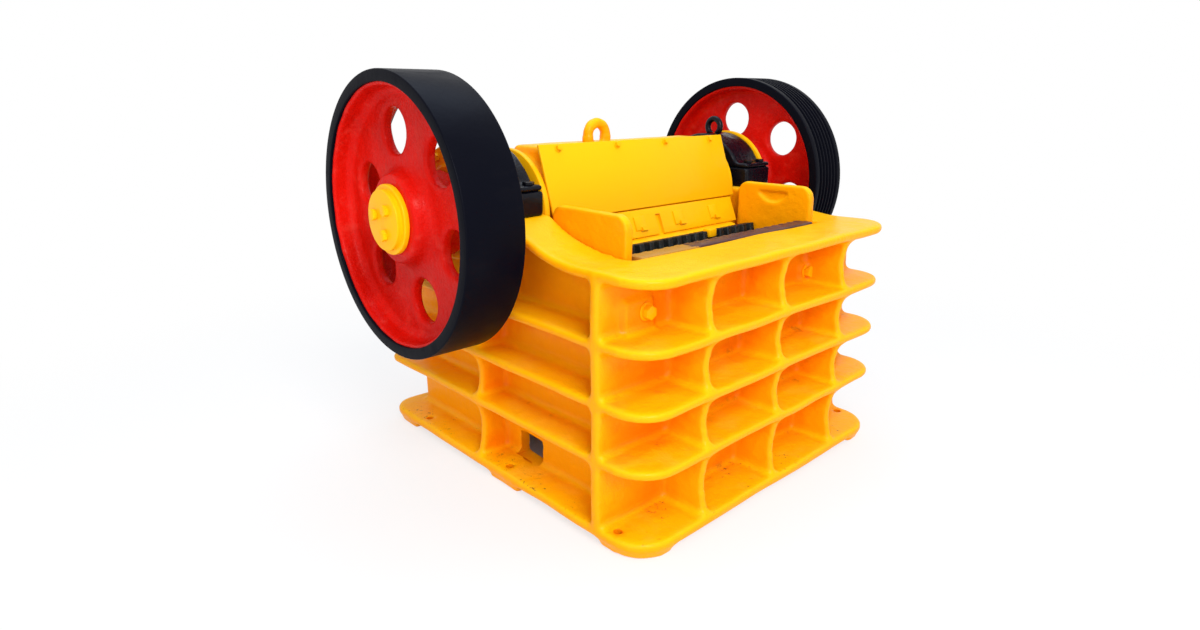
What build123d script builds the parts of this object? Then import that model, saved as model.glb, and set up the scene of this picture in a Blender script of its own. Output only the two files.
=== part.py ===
from build123d import *
import math
import os

# Jaw crusher, millimetres, +Z up. The mouth faces the front, which is -Y.
# The origin is on the ground, under the middle of the frame's flanges.

# Flanges of the frame
flange_half_width = 530
flange_thickness = 24
front_corner_radius = 105
rear_corner_radius = 70
edge_radius = 9

# Base flange, its feet and its foundation holes
foot_height = 19
foot_length = 150
middle_foot_length = 120
foot_width = 120
base_thickness = 28
foundation_hole_diameter = 22
hole_edge_distance = 34
corner_hole_setback = 107
rear_hole_setback = 197

# Walls of the frame
front_wall_setback = 141
rear_wall_setback = 239
side_wall_setback = 105
side_wall_rear_setback = 55
wall_thickness = 30
rib_thickness = 22
rib_edge_inset = 9
rib_hollow = 15
rib_pitch = 290
window_width = 94
window_height = 66
window_middle_setback = 525

# Levels of the frame
lower_flange_height = 204
flange_pitch = 142
top_flange_rise = 154
top_flange_thickness = 26

# Shaft and its seats on the side walls
shaft_setback = 645
shaft_to_rear_wall = 271
shaft_rise = 74
seat_drop = 4
seat_half_length = 190
ramp_run = 275
eccentricity = 10
journal_radius = 70
eccentric_radius = 82
running_fit = 0.05

# Bearing housings
housing_radius = 161
housing_split_rise = 58
housing_flange_thickness = 15
housing_wall_offset = 20
housing_width = 130
housing_seat_gap = 0.3
housing_chest_radius = 118
cover_radius = 166
cover_width = 20
housing_eye_radius = 26
housing_eye_bar = 20
housing_eye_rise = 20

# Flywheel and belt pulley
wheel_radius = 341
wheel_cover_gap = 23
wheel_width = 152
rim_depth = 35
web_thickness = 30
web_inset = 80
web_hole_count = 6
web_hole_rim_margin = 43
web_hole_hub_margin = 31
web_hole_turn = 12.5
hub_radius = 104
hub_inner_length = 11
hub_outer_inset = 14
hub_foot_flare = 16
groove_count = 6
groove_pitch = 19
groove_depth = 13
groove_top_width = 14
groove_bottom_width = 7
cap_radius = 84
cap_thickness = 13
cap_face_radius = 73
cap_face_thickness = 13

# Crushing chamber
mouth_gape = 150
discharge_gap = 42
chamber_bottom_height = 110
tooth_count = 19
tooth_depth = 20
tooth_tip_share = 0.46
tooth_flank_share = 0.1
fixed_plate_thickness = 50
fixed_plate_bottom_height = 90
moving_plate_thickness = 48
moving_plate_drop = 24
jaw_side_gap = 9

# Cheek plates
cheek_thickness = 25
cheek_front_inset = 21
cheek_guard_gap = 16
cheek_rise = 97
cheek_bottom_height = 190
cheek_corner_radius = 34
cheek_slot_length = 112
cheek_slot_height = 34
cheek_slot_depth = 9
cheek_slot_below_top = 22

# Pitman, its guard and its clamp plate
barrel_radius = 150
pitman_neck_length = 32
pitman_top_rise = 156
pitman_top_length = 150
pitman_ring_radius = 160
pitman_ring_thickness = 16
pitman_wall_gap = 7
pitman_neck_radius = 132
pitman_foot_depth = 68
pitman_seat_offset = 175
pitman_seat_height = 110
pitman_shoulder_angle = 30
guard_ring_gap = 1
guard_thickness = 8
guard_top_offset = 115
guard_top_rise = 163
guard_bottom_offset = 177
guard_bottom_drop = 23
clamp_thickness = 18
clamp_seam = 3
clamp_overhang = 12
clamp_bottom_drop = 92
clamp_bottom_offset = 205
lifting_eye_radius = 31
lifting_eye_bar = 28
lifting_eye_rise = 30
lifting_eye_offset = 50
lifting_eye_x = -100
lifting_eye_turn = 40

# Toggle and tension rods
toggle_height = 215
toggle_thickness = 34
toggle_half_width = 300
toggle_free_gap = 16
toggle_groove_depth = 12
beam_depth = 90
beam_height = 100
rod_x = 145
rod_height = 118
rod_radius = 16
rod_hole_clearance = 17
rod_grip = 60
rod_end_length = 14
spring_wire = 11
spring_length = 62
spring_free_gap = 16
nut_thickness = 24
nut_across_flats = 52
washer_thickness = 10

# Places worked out from the sizes, along Y from the middle of the flanges
flange_length = shaft_setback + shaft_to_rear_wall + rear_wall_setback
front_y = -flange_length / 2
rear_y = flange_length / 2
front_wall_y = front_y + front_wall_setback
front_wall_inner_y = front_wall_y + wall_thickness
rear_wall_y = rear_y - rear_wall_setback
rear_wall_inner_y = rear_wall_y - wall_thickness
side_wall_rear_y = rear_y - side_wall_rear_setback
shaft_y = front_y + shaft_setback
seat_front_y = shaft_y - seat_half_length
seat_rear_y = shaft_y + seat_half_length
guard_bottom_y = shaft_y - guard_bottom_offset
seat_y = shaft_y - pitman_seat_offset

# Heights
base_top = foot_height + base_thickness
ring_levels = [lower_flange_height + flange_pitch * level for level in range(3)]
top_flange_height = ring_levels[2] + top_flange_rise
top_flange_top = top_flange_height + top_flange_thickness
shaft_height = top_flange_top + shaft_rise
seat_height = shaft_height - seat_drop
ledge_height = seat_height - top_flange_thickness
housing_split_height = shaft_height + housing_split_rise
eccentric_height = shaft_height - eccentricity
pitman_top_height = shaft_height + pitman_top_rise
cheek_top_height = top_flange_top + cheek_rise
moving_plate_top_height = top_flange_top - moving_plate_drop

# Places along the shaft, from the middle outwards
outer_half_width = flange_half_width - side_wall_setback
inner_half_width = outer_half_width - wall_thickness
cheek_inner_x = inner_half_width - cheek_thickness
jaw_half_width = cheek_inner_x - jaw_side_gap
eccentric_half_width = inner_half_width - pitman_wall_gap
pitman_ring_x = eccentric_half_width - pitman_ring_thickness
guard_half_width = pitman_ring_x - guard_ring_gap
barrel_half_width = pitman_ring_x - pitman_neck_length
clamp_half_width = barrel_half_width + clamp_overhang
housing_inner_x = inner_half_width + housing_wall_offset
housing_outer_x = housing_inner_x + housing_width
wheel_inner_x = housing_outer_x + cover_width + wheel_cover_gap
wheel_outer_x = wheel_inner_x + wheel_width
hub_inner_x = wheel_inner_x - hub_inner_length
hub_outer_x = wheel_outer_x - hub_outer_inset
web_inner_x = wheel_inner_x + web_inset - web_thickness / 2
web_outer_x = web_inner_x + web_thickness
fixed_face_y = front_wall_inner_y + fixed_plate_thickness


def block(x0, x1, y0, y1, z0, z1):
    """A box between two corners."""
    return Pos((x0 + x1) / 2, (y0 + y1) / 2, (z0 + z1) / 2) * Box(x1 - x0, y1 - y0, z1 - z0)


def side_sheet(face, x0, x1):
    """A face of the Y-Z plane, drawn out along X."""
    return Pos(x0, 0, 0) * extrude(Plane.YZ * face, x1 - x0, dir=(1, 0, 0))


def side_profile(points, x0, x1):
    """A closed outline of straight lines in the Y-Z plane, drawn out along X."""
    return side_sheet(Polygon(*points, align=None), x0, x1)


def bar_x(radius, x0, x1, y, z):
    """A round bar along X."""
    return Pos((x0 + x1) / 2, y, z) * Rot(0, 90, 0) * Cylinder(radius, x1 - x0)


def bar_y(radius, y0, y1, x, z):
    """A round bar along Y."""
    return Pos(x, (y0 + y1) / 2, z) * Rot(90, 0, 0) * Cylinder(radius, y1 - y0)


def mirrored(solid):
    """The same piece on the other side of the machine."""
    return mirror(solid, Plane.YZ)


def flange_sheet(inset):
    """The flange's outline with its round corners, drawn in by an inset."""
    sheet = Rectangle(2 * (flange_half_width - inset), flange_length - 2 * inset)
    sheet = fillet(sheet.vertices().group_by(Axis.Y)[0], front_corner_radius - inset)
    return fillet(sheet.vertices().group_by(Axis.Y)[-1], rear_corner_radius - inset)


def flange_plate(thickness, z):
    """A whole flange plate with rounded edges."""
    plate = extrude(flange_sheet(0), thickness)
    rim = plate.faces().filter_by(Axis.Z).edges()
    return Pos(0, 0, z) * fillet(rim, min(edge_radius, 0.45 * thickness))


def full_band(y0, y1, z0, z1):
    """A slice across the whole frame, a little wider than the flanges."""
    reach = flange_half_width + wall_thickness
    return block(-reach, reach, y0, y1, z0, z1)


def walled_core(z0, z1):
    """What the four walls take up together, with the space inside them."""
    core = block(-outer_half_width, outer_half_width, front_wall_y, rear_wall_y, z0, z1)
    core += full_band(front_wall_y, front_wall_inner_y, z0, z1)
    for side in (-1, 1):
        ends = sorted((side * inner_half_width, side * outer_half_width))
        core += block(ends[0], ends[1], rear_wall_y - 1, side_wall_rear_y, z0, z1)
    return core


def ledge_path(start_y, end_y, lift):
    """The side strip's line: level, then an arc up to the bearing seat, then level."""
    low = top_flange_height + lift
    high = ledge_height + lift
    arc_start_y = seat_front_y - ramp_run
    path = Line((start_y, low), (arc_start_y, low)) + TangentArc(
        (arc_start_y, low), (seat_front_y, high), tangent=(1, 0))
    return path + Line((seat_front_y, high), (end_y, high))


def write(name, shape):
    export_step(shape, "parts/" + name + ".step")


os.makedirs("parts", exist_ok=True)

# Base flange with six feet and six foundation holes
hole_x = flange_half_width - hole_edge_distance
hole_front_y = front_y + corner_hole_setback
hole_rear_y = rear_y - rear_hole_setback
hole_rows = [hole_front_y, (hole_front_y + hole_rear_y) / 2, hole_rear_y]
base_plate = flange_plate(base_thickness, foot_height)
base_plate -= block(
    -inner_half_width, inner_half_width,
    front_wall_inner_y, rear_wall_inner_y, foot_height - 1, base_top + 1)
sole = extrude(flange_sheet(edge_radius), foot_height + edge_radius)
foot_rows = [
    (front_y, front_y + foot_length),
    (hole_rows[1] - middle_foot_length / 2, hole_rows[1] + middle_foot_length / 2),
    (rear_y - foot_length, rear_y),
]
for side in (-1, 1):
    outer_x = side * flange_half_width
    inner_x = side * (flange_half_width - foot_width)
    for y0, y1 in foot_rows:
        zone = block(min(outer_x, inner_x), max(outer_x, inner_x), y0, y1, 0, foot_height + edge_radius)
        base_plate += sole & zone
for side in (-1, 1):
    for hole_y in hole_rows:
        drill = Pos(side * hole_x, hole_y, base_top / 2)
        base_plate -= drill * Cylinder(foundation_hole_diameter / 2, base_top + 2)
write("base_plate", base_plate)

# Front wall, the full width of the flanges, and rear wall, between the side walls. A rod's
# hole lies round the middle of the circle that the rod moves on.
rod_hole_radius = rod_radius + rod_hole_clearance
rod_hole_height = rod_height + eccentricity
front_wall = block(
    -flange_half_width, flange_half_width,
    front_wall_y, front_wall_inner_y, base_top, top_flange_height)
rear_wall = block(
    -inner_half_width, inner_half_width,
    rear_wall_inner_y, rear_wall_y, base_top, ledge_height)
for side in (-1, 1):
    rear_wall -= bar_y(
        rod_hole_radius, rear_wall_inner_y - 1, rear_wall_y + 1, side * rod_x, rod_hole_height)
write("front_wall", front_wall)
write("rear_wall", rear_wall)

# Room in the frame for the lower half of a bearing housing and for the shaft
housing_room = bar_x(
    housing_chest_radius + housing_seat_gap,
    housing_inner_x - housing_seat_gap, flange_half_width + wall_thickness, shaft_y, shaft_height)
shaft_room = bar_x(
    housing_chest_radius + housing_seat_gap,
    inner_half_width - 1, flange_half_width, shaft_y, shaft_height)

# Side walls, which rise to the bearing seats and run on behind the rear wall. An ear on
# each closes the end of the raised side strip.
wall_outline = ledge_path(front_wall_inner_y, rear_wall_y, 0)
wall_outline += Polyline(
    (rear_wall_y, ledge_height), (rear_wall_y, top_flange_height),
    (side_wall_rear_y, top_flange_height), (side_wall_rear_y, base_top),
    (front_wall_inner_y, base_top), (front_wall_inner_y, top_flange_height))
right_wall = side_sheet(make_face(wall_outline), inner_half_width, outer_half_width)
right_wall += block(
    outer_half_width - 1, flange_half_width,
    rear_wall_inner_y, rear_wall_y, top_flange_height, ledge_height)
window_y = front_y + window_middle_setback
right_wall -= block(
    inner_half_width - 1, outer_half_width + 1,
    window_y - window_width / 2, window_y + window_width / 2, base_top - 1, base_top + window_height)
right_wall -= shaft_room
write("right_wall", right_wall)
write("left_wall", mirrored(right_wall))

# Three flanges round the frame, each in two pieces: before the front wall and behind it
for name, level in zip(("lower_flange", "middle_flange", "upper_flange"), ring_levels):
    ring = flange_plate(flange_thickness, level)
    ring -= walled_core(level - 1, level + flange_thickness + 1)
    write(name, ring)

# Top flange: a front plate, a rear plate and two strips that rise to the seats
top_plate = flange_plate(top_flange_thickness, top_flange_height)
over = top_flange_top + 1
under = top_flange_height - 1
write("top_front_flange", top_plate & full_band(front_y - 1, front_wall_inner_y, under, over))
write("top_rear_flange", top_plate & full_band(rear_wall_y, rear_y + 1, under, over))

ledge_outline = ledge_path(front_wall_inner_y, rear_wall_y, 0)
ledge_outline += ledge_path(front_wall_inner_y, rear_wall_y, top_flange_thickness)
for y, z in ((front_wall_inner_y, top_flange_height), (rear_wall_y, ledge_height)):
    ledge_outline += Line((y, z), (y, z + top_flange_thickness))
right_ledge = side_sheet(make_face(ledge_outline), inner_half_width, flange_half_width)
outer_face = right_ledge.faces().sort_by(Axis.X)[-1]
outer_rims = [edge for edge in outer_face.edges() if abs((edge % 0.5).Y) > 0.5]
right_ledge = fillet(outer_rims, min(edge_radius, 0.45 * top_flange_thickness))
right_ledge -= housing_room
right_ledge -= shaft_room
write("right_bearing_ledge", right_ledge)
write("left_bearing_ledge", mirrored(right_ledge))

# Upright ribs between the flanges, four to a row, with hollowed outer edges
rib_spans = [(base_top, ring_levels[0])]
for level in ring_levels[:2]:
    rib_spans.append((level + flange_thickness, level + flange_pitch))
rib_spans.append((ring_levels[2] + flange_thickness, top_flange_height))


def rib_face(inner, outer, z0, z1):
    """A rib's outline: straight at the wall, hollow at its outer edge."""
    sign = 1 if outer > inner else -1
    middle = (outer - sign * rib_hollow, (z0 + z1) / 2)
    edges = Polyline((outer, z0), (inner, z0), (inner, z1), (outer, z1))
    edges += ThreePointArc((outer, z1), middle, (outer, z0))
    return make_face(edges)


def rib_row(inner_y, outer_y, x):
    """One upright row of ribs on the front or the rear wall."""
    ribs = []
    for z0, z1 in rib_spans:
        face = rib_face(inner_y, outer_y, z0, z1)
        ribs.append(side_sheet(face, x - rib_thickness / 2, x + rib_thickness / 2))
    return Compound(children=ribs)


for name, x in (("left", -rib_pitch), ("middle", 0), ("right", rib_pitch)):
    write("front_rib_" + name, rib_row(front_wall_y, front_y + rib_edge_inset, x))
    write("rear_rib_" + name, rib_row(rear_wall_y, rear_y - rib_edge_inset, x))

# Side ribs under the bearing seats
side_ribs = []
for z0, z1 in rib_spans:
    top = z1
    if z1 == top_flange_height:
        top = ledge_height
    web = rib_face(outer_half_width, flange_half_width - rib_edge_inset, z0, top)
    web = extrude(Plane.XZ * web, rib_thickness, dir=(0, -1, 0))
    web = Pos(0, shaft_y + rib_thickness / 2, 0) * web
    side_ribs.append(web - housing_room)
write("right_side_rib", Compound(children=side_ribs))
write("left_side_rib", Compound(children=[mirrored(web) for web in side_ribs]))

# Fixed jaw plate, with upright teeth towards the chamber
def toothed_outline(thickness):
    """A jaw plate's section: flat at the back, with its teeth's tips on Y = 0."""
    pitch = 2 * jaw_half_width / tooth_count
    tip = tooth_tip_share * pitch / 2
    root = tip + tooth_flank_share * pitch
    points = [(-jaw_half_width, thickness), (-jaw_half_width, tooth_depth)]
    for tooth in range(tooth_count):
        x = -jaw_half_width + (tooth + 0.5) * pitch
        points += [(x - root, tooth_depth), (x - tip, 0), (x + tip, 0), (x + root, tooth_depth)]
    points += [(jaw_half_width, tooth_depth), (jaw_half_width, thickness)]
    return Polygon(*points, align=None)


fixed_plate = extrude(
    mirror(toothed_outline(fixed_plate_thickness), Plane.XZ),
    top_flange_top - fixed_plate_bottom_height)
write("fixed_jaw_plate", Pos(0, fixed_face_y, fixed_plate_bottom_height) * fixed_plate)

# Moving jaw plate, which leans back from the discharge to the mouth
crest_low = Vector(0, fixed_face_y + discharge_gap, chamber_bottom_height)
crest_high = Vector(0, fixed_face_y + mouth_gape, moving_plate_top_height)
lean = math.degrees(math.atan2(crest_high.Y - crest_low.Y, crest_high.Z - crest_low.Z))
plate_length = (crest_high - crest_low).length
lean_place = Pos(crest_low) * Rot(-lean, 0, 0)
moving_plate = lean_place * extrude(toothed_outline(moving_plate_thickness), plate_length)
write("moving_jaw_plate", moving_plate)
seat_low = (lean_place * Pos(0, moving_plate_thickness, 0)).position
seat_high = (lean_place * Pos(0, moving_plate_thickness, plate_length)).position

# Cheek plates, which stand up above the mouth and have a shallow grip each
cheek_front_y = front_wall_inner_y + cheek_front_inset
cheek_rear_y = guard_bottom_y - cheek_guard_gap
cheek_middle_y = (cheek_front_y + cheek_rear_y) / 2
cheek_sheet = Polygon(
    (cheek_front_y, cheek_bottom_height), (cheek_rear_y, cheek_bottom_height),
    (cheek_rear_y, cheek_top_height), (cheek_front_y, cheek_top_height), align=None)
cheek_sheet = fillet(cheek_sheet.vertices().group_by(Axis.Y)[-1], cheek_corner_radius)
right_cheek = side_sheet(cheek_sheet, cheek_inner_x, inner_half_width)
slot_top = cheek_top_height - cheek_slot_below_top
slot_ends = [(cheek_middle_y + side * cheek_slot_length / 2, slot_top) for side in (-1, 1)]
slot_edges = Polyline(slot_ends[0], slot_ends[1])
slot_edges += ThreePointArc(slot_ends[1], (cheek_middle_y, slot_top - cheek_slot_height), slot_ends[0])
right_cheek -= side_sheet(
    make_face(slot_edges), cheek_inner_x - 1, cheek_inner_x + cheek_slot_depth)
write("right_cheek_plate", right_cheek)
write("left_cheek_plate", mirrored(right_cheek))

# Bearing housings: a base in the seat, a cap with ears, an outer cover and an eye
journal_bore = bar_x(
    journal_radius + running_fit, inner_half_width - 1, wheel_inner_x, shaft_y, shaft_height)
chest = bar_x(housing_chest_radius, housing_inner_x, housing_outer_x, shaft_y, shaft_height)
chest &= block(
    housing_inner_x - 1, housing_outer_x + 1,
    seat_front_y, seat_rear_y, shaft_height - 2 * housing_chest_radius, seat_height)
bearing_base = block(
    housing_inner_x, housing_outer_x, seat_front_y, seat_rear_y, seat_height, housing_split_height)
bearing_base = bearing_base + chest - journal_bore
write("right_bearing_base", bearing_base)
write("left_bearing_base", mirrored(bearing_base))

bearing_cap = bar_x(housing_radius, housing_inner_x, housing_outer_x, shaft_y, shaft_height)
bearing_cap &= block(
    housing_inner_x - 1, housing_outer_x + 1,
    seat_front_y, seat_rear_y, housing_split_height, shaft_height + 2 * housing_radius)
bearing_cap += block(
    housing_inner_x, housing_outer_x, seat_front_y, seat_rear_y,
    housing_split_height, housing_split_height + housing_flange_thickness)
bearing_cap -= journal_bore
write("right_bearing_cap", bearing_cap)
write("left_bearing_cap", mirrored(bearing_cap))

cover = bar_x(cover_radius, housing_outer_x, housing_outer_x + cover_width, shaft_y, shaft_height)
cover -= journal_bore
write("bearing_covers", Compound(children=[cover, mirrored(cover)]))

housing_middle_x = housing_inner_x + housing_width / 2
housing_eye = Torus(housing_eye_radius, housing_eye_bar / 2)
housing_eye = Pos(housing_middle_x, shaft_y, shaft_height + housing_radius + housing_eye_rise) * (
    Rot(0, 90, 0) * housing_eye)
housing_eye -= bar_x(housing_radius, housing_inner_x, housing_outer_x, shaft_y, shaft_height)
write("bearing_eyes", Compound(children=[housing_eye, mirrored(housing_eye)]))

# Toggle beam across the rear of the frame, with the toggle plate in its groove
beam_front_y = rear_wall_inner_y - beam_depth
toggle_front_y = seat_y + toggle_free_gap
toggle_plate = block(
    -toggle_half_width, toggle_half_width, toggle_front_y, beam_front_y + toggle_groove_depth,
    toggle_height - toggle_thickness / 2, toggle_height + toggle_thickness / 2)
toggle_beam = block(
    -inner_half_width, inner_half_width, beam_front_y, rear_wall_inner_y,
    toggle_height - beam_height / 2, toggle_height + beam_height / 2)
write("toggle_beam", toggle_beam - toggle_plate)
write("toggle_plate", toggle_plate)

# Springs of the tension rods, plain tubes in the room of their coils
spring_radius = rod_hole_radius + spring_wire
spring_end_y = rear_wall_y + spring_length
springs = []
for side in (-1, 1):
    coil = bar_y(spring_radius, rear_wall_y, spring_end_y, side * rod_x, rod_hole_height)
    springs.append(coil - bar_y(
        rod_hole_radius, rear_wall_y - 1, spring_end_y + 1, side * rod_x, rod_hole_height))
write("tension_springs", Compound(children=springs))

# Eccentric shaft: journals on the shaft's axis, a lowered middle for the pitman
shaft = bar_x(journal_radius, -hub_outer_x, hub_outer_x, shaft_y, shaft_height)
shaft += bar_x(
    eccentric_radius, -eccentric_half_width, eccentric_half_width, shaft_y, eccentric_height)
write("eccentric_shaft", shaft)


def turned(points):
    """A piece turned about the shaft's axis, from its section beside that axis."""
    section = Polygon(*points, align=None)
    return Pos(0, shaft_y, shaft_height) * revolve(section, Axis.X)


# Flywheel and pulley, both with a web of round holes and a hub
rim_inner_radius = wheel_radius - rim_depth
flywheel_rim = turned([
    (wheel_inner_x, rim_inner_radius), (wheel_outer_x, rim_inner_radius),
    (wheel_outer_x, wheel_radius), (wheel_inner_x, wheel_radius)])
write("flywheel_rim", mirrored(flywheel_rim))

groove_start_x = (wheel_inner_x + wheel_outer_x - (groove_count - 1) * groove_pitch) / 2
pulley_section = [(wheel_outer_x, rim_inner_radius), (wheel_inner_x, rim_inner_radius)]
pulley_section.append((wheel_inner_x, wheel_radius))
for groove in range(groove_count):
    x = groove_start_x + groove * groove_pitch
    pulley_section += [
        (x - groove_top_width / 2, wheel_radius),
        (x - groove_bottom_width / 2, wheel_radius - groove_depth),
        (x + groove_bottom_width / 2, wheel_radius - groove_depth),
        (x + groove_top_width / 2, wheel_radius),
    ]
pulley_section.append((wheel_outer_x, wheel_radius))
write("pulley_rim", turned(pulley_section))

hub_foot_radius = hub_radius + hub_foot_flare
hole_inner_reach = hub_foot_radius + web_hole_hub_margin
hole_outer_reach = rim_inner_radius - web_hole_rim_margin
web_hole_radius = (hole_outer_reach - hole_inner_reach) / 2
web_hole_circle = (hole_outer_reach + hole_inner_reach) / 2
wheel_web = turned([
    (hub_inner_x, journal_radius), (hub_outer_x, journal_radius), (hub_outer_x, hub_radius),
    (web_outer_x, hub_foot_radius), (web_outer_x, rim_inner_radius),
    (web_inner_x, rim_inner_radius), (web_inner_x, hub_foot_radius), (hub_inner_x, hub_radius)])
for hole in range(web_hole_count):
    turn = math.radians(web_hole_turn + hole * 360 / web_hole_count)
    hole_y = shaft_y + web_hole_circle * math.sin(turn)
    hole_z = shaft_height + web_hole_circle * math.cos(turn)
    wheel_web -= bar_x(web_hole_radius, web_inner_x - 1, web_outer_x + 1, hole_y, hole_z)
write("pulley_web", wheel_web)
write("flywheel_web", mirrored(wheel_web))

cap_step_x = hub_outer_x + cap_thickness
end_cap = bar_x(cap_radius, hub_outer_x, cap_step_x, shaft_y, shaft_height)
end_cap += bar_x(
    cap_face_radius, cap_step_x, cap_step_x + cap_face_thickness, shaft_y, shaft_height)
write("shaft_end_caps", Compound(children=[end_cap, mirrored(end_cap)]))

# Guard plate and clamp plate on the front of the pitman
def sloped_sheet(top, bottom, thickness, half_width):
    """A sheet whose front face runs between two points, and those of its back."""
    run = Vector(0, top[0] - bottom[0], top[1] - bottom[1]).normalized()
    back = Vector(0, run.Z, -run.Y) * thickness
    back_top = (top[0] + back.Y, top[1] + back.Z)
    back_bottom = (bottom[0] + back.Y, bottom[1] + back.Z)
    sheet = side_profile([bottom, back_bottom, back_top, top], -half_width, half_width)
    return sheet, back_top, back_bottom


guard_top = (shaft_y - guard_top_offset, shaft_height + guard_top_rise)
guard_bottom = (guard_bottom_y, shaft_height - guard_bottom_drop)
guard_plate, guard_back_top, guard_back_bottom = sloped_sheet(
    guard_top, guard_bottom, guard_thickness, guard_half_width)
write("guard_plate", guard_plate)

clamp_bottom = (shaft_y - clamp_bottom_offset, shaft_height - clamp_bottom_drop)
clamp_top = (guard_bottom[0], guard_bottom[1] - clamp_seam)
clamp_plate, clamp_back_top, clamp_back_bottom = sloped_sheet(
    clamp_top, clamp_bottom, clamp_thickness, clamp_half_width)
write("clamp_plate", clamp_plate)

# Pitman: a barrel on the eccentric, a flat head behind the guard, a leg to the toggle
shoulder = math.radians(pitman_shoulder_angle)
head_share = (pitman_top_height - guard_back_bottom[1]) / (guard_back_top[1] - guard_back_bottom[1])
head_front_y = guard_back_bottom[0] + head_share * (guard_back_top[0] - guard_back_bottom[0])
foot = (lean_place * Pos(0, moving_plate_thickness + pitman_foot_depth, 0)).position
pitman = side_profile([
    (head_front_y, pitman_top_height),
    guard_back_bottom,
    clamp_back_top,
    clamp_back_bottom,
    (seat_high.Y, seat_high.Z),
    (seat_low.Y, seat_low.Z),
    (foot.Y, foot.Z),
    (seat_y, toggle_height - pitman_seat_height / 2),
    (seat_y, toggle_height + pitman_seat_height / 2),
    (shaft_y + barrel_radius * math.cos(shoulder), eccentric_height - barrel_radius * math.sin(shoulder)),
    (shaft_y, eccentric_height),
    (head_front_y + pitman_top_length, pitman_top_height),
], -barrel_half_width, barrel_half_width)
pitman += bar_x(barrel_radius, -barrel_half_width, barrel_half_width, shaft_y, eccentric_height)
pitman += bar_x(pitman_neck_radius, -pitman_ring_x, pitman_ring_x, shaft_y, eccentric_height)
pitman -= bar_x(
    eccentric_radius + running_fit,
    -pitman_ring_x - 1, pitman_ring_x + 1, shaft_y, eccentric_height)
rod_start_y = seat_y - rod_grip
for side in (-1, 1):
    pitman -= bar_y(rod_radius, rod_start_y, rear_wall_y, side * rod_x, rod_height)
write("pitman", pitman)

pitman_ring = bar_x(
    pitman_ring_radius, pitman_ring_x, eccentric_half_width, shaft_y, eccentric_height)
pitman_ring -= bar_x(
    eccentric_radius + running_fit,
    pitman_ring_x - 1, eccentric_half_width + 1, shaft_y, eccentric_height)
write("pitman_end_rings", Compound(children=[pitman_ring, mirrored(pitman_ring)]))

lifting_eye = Torus(lifting_eye_radius, lifting_eye_bar / 2)
lifting_eye = Rot(0, 0, -lifting_eye_turn) * Rot(90, 0, 0) * lifting_eye
lifting_eye = Pos(
    lifting_eye_x, shaft_y - lifting_eye_offset, pitman_top_height + lifting_eye_rise) * lifting_eye
lifting_eye -= block(
    -barrel_half_width, barrel_half_width, front_y, rear_y,
    pitman_top_height - 2 * lifting_eye_radius, pitman_top_height)
write("lifting_eye", lifting_eye)

# Tension rods, each with a washer and a nut behind its spring
washer_y = spring_end_y + spring_free_gap
nut_y = washer_y + washer_thickness
rods = []
for side in (-1, 1):
    rod = bar_y(
        rod_radius, rod_start_y, nut_y + nut_thickness + rod_end_length, side * rod_x, rod_height)
    rod += bar_y(spring_radius, washer_y, nut_y, side * rod_x, rod_height)
    hexagon = RegularPolygon(nut_across_flats / 2, 6, major_radius=False)
    nut = extrude(Plane.XZ * hexagon, nut_thickness, dir=(0, 1, 0))
    rod += Pos(side * rod_x, nut_y, rod_height) * nut
    rods.append(rod)
write("tension_rods", Compound(children=rods))
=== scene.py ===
# %% [markdown]
# A jaw crusher is a heavy, hollow box of cast steel with a toothed jaw swinging inside it.
# One shaft runs across the top in two bearing housings, with a flywheel on one end and a
# grooved belt pulley on the other. The construction model comes in first, as a fixed frame
# in metres. Each later step dresses one part of it: some solids are rebuilt with their cast
# fillets and bolts, and the ones whose shape is already right only get their paint.

# %% Load the frame
import math
import random

import bmesh
import bpy
from mathutils import Matrix, Vector, noise
from mathutils.bvhtree import BVHTree


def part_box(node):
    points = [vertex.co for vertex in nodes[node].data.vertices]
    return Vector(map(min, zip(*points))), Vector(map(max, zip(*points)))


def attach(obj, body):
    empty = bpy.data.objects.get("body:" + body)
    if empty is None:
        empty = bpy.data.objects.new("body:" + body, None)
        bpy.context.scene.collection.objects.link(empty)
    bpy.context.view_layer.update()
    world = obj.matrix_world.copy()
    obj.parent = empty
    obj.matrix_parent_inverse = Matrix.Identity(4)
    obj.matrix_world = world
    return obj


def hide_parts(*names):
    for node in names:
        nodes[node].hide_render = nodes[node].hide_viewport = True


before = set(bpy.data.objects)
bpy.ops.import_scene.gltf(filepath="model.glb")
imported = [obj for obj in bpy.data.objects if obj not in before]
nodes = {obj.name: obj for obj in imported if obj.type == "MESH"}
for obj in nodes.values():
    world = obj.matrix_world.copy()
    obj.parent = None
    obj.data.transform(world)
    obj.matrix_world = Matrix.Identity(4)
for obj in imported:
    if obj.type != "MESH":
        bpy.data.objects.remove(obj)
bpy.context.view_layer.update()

# %% [markdown]
# The picture was taken from the front left corner, a little above the mouth, with a wide
# lens. The camera stands there: it is turned by its heading first, then tipped down, and
# the last small turn levels the horizon. The vertical shift is a few pixels only.

# %% Camera
CAMERA_PLACE = Vector((-1.5235, -1.5137, 1.020))
CAMERA_HEADING = 42.95
CAMERA_DIP = 16.59
CAMERA_ROLL = -0.09
LENS = 21.55
SENSOR = 36.0
SHIFT_Y = -0.0033


def turn(degrees, axis):
    """A rotation as a 4x4 matrix."""
    return Matrix.Rotation(math.radians(degrees), 4, axis)


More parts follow.
